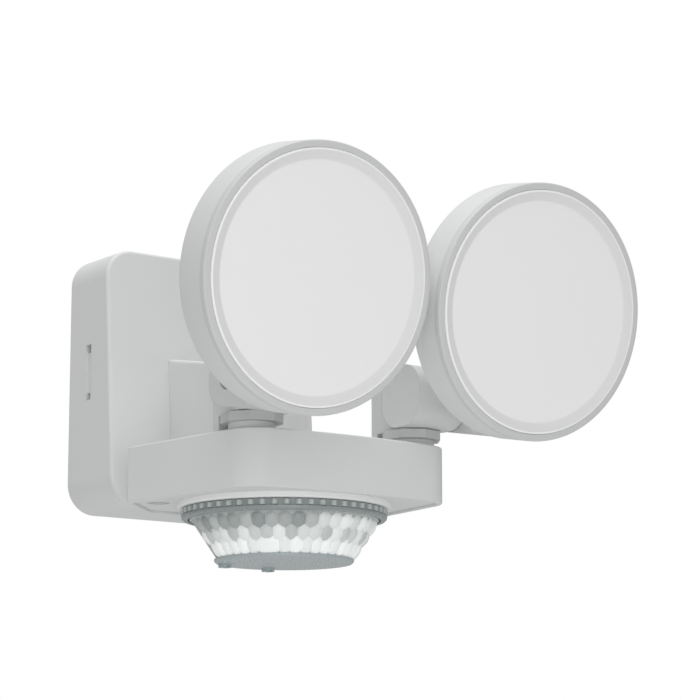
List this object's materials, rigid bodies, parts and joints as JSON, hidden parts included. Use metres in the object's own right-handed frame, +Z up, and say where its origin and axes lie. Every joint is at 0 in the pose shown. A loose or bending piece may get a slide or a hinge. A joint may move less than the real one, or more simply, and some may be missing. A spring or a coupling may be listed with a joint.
{
  "type": "twin-head motion floodlight",
  "caption": "Wall light with two round swivelling LED heads over a platform that carries a downward faceted motion-sensor lens.",
  "frame": {"origin": "centre of the back plate's wall face", "axes": "+Z up, +Y into the wall, lamp heads towards -Y, left is -X"},
  "size_m": [0.2292, 0.2151, 0.163],
  "materials": {
    "white_plastic": "fine moulded texture",
    "bright_plastic": "smooth moulded",
    "grey_plastic": "smooth translucent grey-green",
    "sensor_lens": "faceted polyethylene",
    "white_metal": "white powder coat on die-cast aluminium",
    "diffuser": "satin opal polycarbonate",
    "zinc_steel": "zinc plate",
    "aluminium": "plain sheet",
    "led_chip": "phosphor",
    "silicone": "translucent",
    "foam": "closed-cell foam",
    "grey_nylon": "moulded",
    "circuit_board": "solder resist"
  },
  "bodies": {
    "root": {"canopy_shell": "white_plastic", "back_plate": "zinc_steel", "left_latch": "zinc_steel", "right_latch": "zinc_steel", "wall_gasket": "foam", "terminal_block": "grey_nylon", "neck_housing": "white_plastic", "platform_shell": "white_plastic", "bottom_cover": "white_plastic", "cover_screws": "zinc_steel", "sensor_flange": "bright_plastic", "sensor_lens": "sensor_lens", "sensor_cap": "grey_plastic", "sensor_board": "circuit_board", "dial_potentiometers": "grey_nylon", "motion_detector": "zinc_steel", "driver_board": "circuit_board", "relay": "grey_nylon", "driver_transformer": "grey_nylon", "smoothing_capacitor": "grey_nylon", "left_collar": "white_plastic", "right_collar": "white_plastic"},
    "sensor_ring": {"sensor_ring": "grey_plastic"},
    "range_dial": {"range_dial": "grey_plastic"},
    "time_dial": {"time_dial": "grey_plastic"},
    "left_nut": {"left_lock_nut": "white_plastic"},
    "left_swivel": {"left_swivel_bracket": "white_metal", "left_stem_retainer": "zinc_steel"},
    "left_head": {"left_head_arm": "white_metal", "left_head_housing": "white_metal", "left_bezel": "white_metal", "left_diffuser": "diffuser", "left_lens_seal": "silicone", "left_heat_spreader": "aluminium", "left_lamp_board": "aluminium", "left_led_chips": "led_chip", "left_arm_screws": "zinc_steel", "left_tilt_bolt": "zinc_steel", "left_tilt_nut": "zinc_steel", "left_tilt_washer": "zinc_steel"},
    "right_nut": {"right_lock_nut": "white_plastic"},
    "right_swivel": {"right_swivel_bracket": "white_metal", "right_stem_retainer": "zinc_steel"},
    "right_head": {"right_head_arm": "white_metal", "right_head_housing": "white_metal", "right_bezel": "white_metal", "right_diffuser": "diffuser", "right_lens_seal": "silicone", "right_heat_spreader": "aluminium", "right_lamp_board": "aluminium", "right_led_chips": "led_chip", "right_arm_screws": "zinc_steel", "right_tilt_bolt": "zinc_steel", "right_tilt_nut": "zinc_steel", "right_tilt_washer": "zinc_steel"}
  },
  "joints": [
    {"name": "left_pan", "type": "hinge", "parent": "root", "child": "left_swivel", "pos_m": [-0.043, -0.1324, -0.0355], "axis": [0, 0, -1], "range_deg": [0, 90]},
    {"name": "left_tilt", "type": "hinge", "parent": "left_swivel", "child": "left_head", "pos_m": [-0.0566, -0.1416, -0.0159], "axis": [-1, 0, 0], "range_deg": [-20, 55]},
    {"name": "left_nut_turn", "type": "hinge", "parent": "root", "child": "left_nut", "pos_m": [-0.043, -0.1324, -0.032], "axis": [0, 0, 1], "range_deg": [0, 180]},
    {"name": "right_pan", "type": "hinge", "parent": "root", "child": "right_swivel", "pos_m": [0.043, -0.1324, -0.0355], "axis": [0, 0, 1], "range_deg": [0, 90]},
    {"name": "right_tilt", "type": "hinge", "parent": "right_swivel", "child": "right_head", "pos_m": [0.0566, -0.1416, -0.0159], "axis": [-1, 0, 0], "range_deg": [-20, 55]},
    {"name": "right_nut_turn", "type": "hinge", "parent": "root", "child": "right_nut", "pos_m": [0.043, -0.1324, -0.032], "axis": [0, 0, 1], "range_deg": [0, 180]},
    {"name": "sensor_ring_turn", "type": "hinge", "parent": "root", "child": "sensor_ring", "pos_m": [0, -0.095, -0.0669], "axis": [0, 0, 1], "range_deg": [0, 25]},
    {"name": "range_dial_turn", "type": "hinge", "parent": "root", "child": "range_dial", "pos_m": [-0.02, -0.0774, -0.0885], "axis": [0, 0, 1], "range_deg": [0, 270]},
    {"name": "time_dial_turn", "type": "hinge", "parent": "root", "child": "time_dial", "pos_m": [0.006, -0.0735, -0.0885], "axis": [0, 0, 1], "range_deg": [0, 270]}
  ]
}
